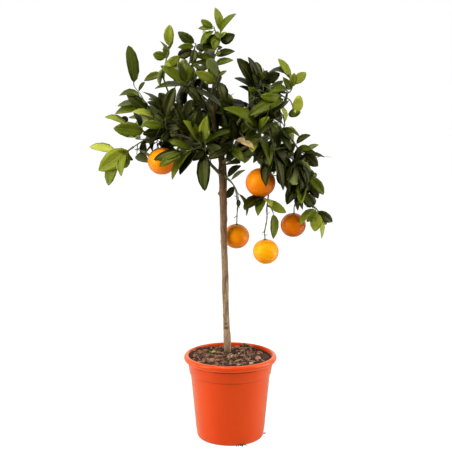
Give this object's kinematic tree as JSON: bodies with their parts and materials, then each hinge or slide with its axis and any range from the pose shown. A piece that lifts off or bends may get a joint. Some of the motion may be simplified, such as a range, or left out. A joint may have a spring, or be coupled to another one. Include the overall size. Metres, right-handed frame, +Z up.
{
  "type": "potted orange tree",
  "caption": "Small orange tree grown as a standard on a bare stem, with glossy leaves and ripe fruit, in a rimmed round nursery pot.",
  "frame": {"origin": "centre of the pot's underside, on the floor", "axes": "+Z up along the pot's axis, -Y towards the viewer, +X to the right"},
  "size_m": [0.526, 0.2938, 0.961],
  "materials": {
    "pot_plastic": "terracotta-orange moulded plastic with a satin sheen",
    "soil": "dark brown bark compost, matt and lumpy",
    "bark": "grey-brown bark, finely fissured, matt",
    "stalk": "thin green-brown fruit stalk with a small calyx",
    "peel": "ripe orange peel, finely pitted, waxy sheen",
    "leaf": "deep green leaf, glossy above and paler below"
  },
  "bodies": {
    "root": {"bough_back_left": "bark", "bough_back_right": "bark", "bough_back_top": "bark", "bough_hanging": "bark", "bough_left": "bark", "bough_left_high": "bark", "bough_left_out": "bark", "bough_right": "bark", "bough_right_low": "bark", "bough_right_up": "bark", "bough_top_left": "bark", "orange_front": "peel", "orange_inner": "peel", "orange_left": "peel", "orange_low": "peel", "orange_right": "peel", "pot": "pot_plastic", "shoot_arch_left": "leaf", "shoot_back_left_low": "leaf", "shoot_back_left_out": "leaf", "shoot_back_left_tip": "leaf", "shoot_back_right_low": "leaf", "shoot_back_right_out": "leaf", "shoot_back_right_tip": "leaf", "shoot_back_top": "leaf", "shoot_back_top_left": "leaf", "shoot_back_top_right": "leaf", "shoot_centre_front": "leaf", "shoot_centre_grey": "leaf", "shoot_centre_left": "leaf", "shoot_centre_right": "leaf", "shoot_leader_low": "leaf", "shoot_leader_tip": "leaf", "shoot_left_dark": "leaf", "shoot_left_front": "leaf", "shoot_left_peak": "leaf", "shoot_left_solo": "leaf", "shoot_left_tip": "leaf", "shoot_left_upper": "leaf", "shoot_low_arch": "leaf", "shoot_low_front": "leaf", "shoot_over_front_orange": "leaf", "shoot_over_orange": "leaf", "shoot_right_front": "leaf", "shoot_right_hanging": "leaf", "shoot_right_middle": "leaf", "shoot_right_out": "leaf", "shoot_right_peak": "leaf", "shoot_right_side": "leaf", "shoot_right_tip": "leaf", "shoot_right_top": "leaf", "shoot_stem_low": "leaf", "shoot_top_rosette": "leaf", "soil": "soil", "stalk_front": "stalk", "stalk_inner": "stalk", "stalk_left": "stalk", "stalk_low": "stalk", "stalk_right": "stalk", "stem": "bark"}
  },
  "joints": []
}
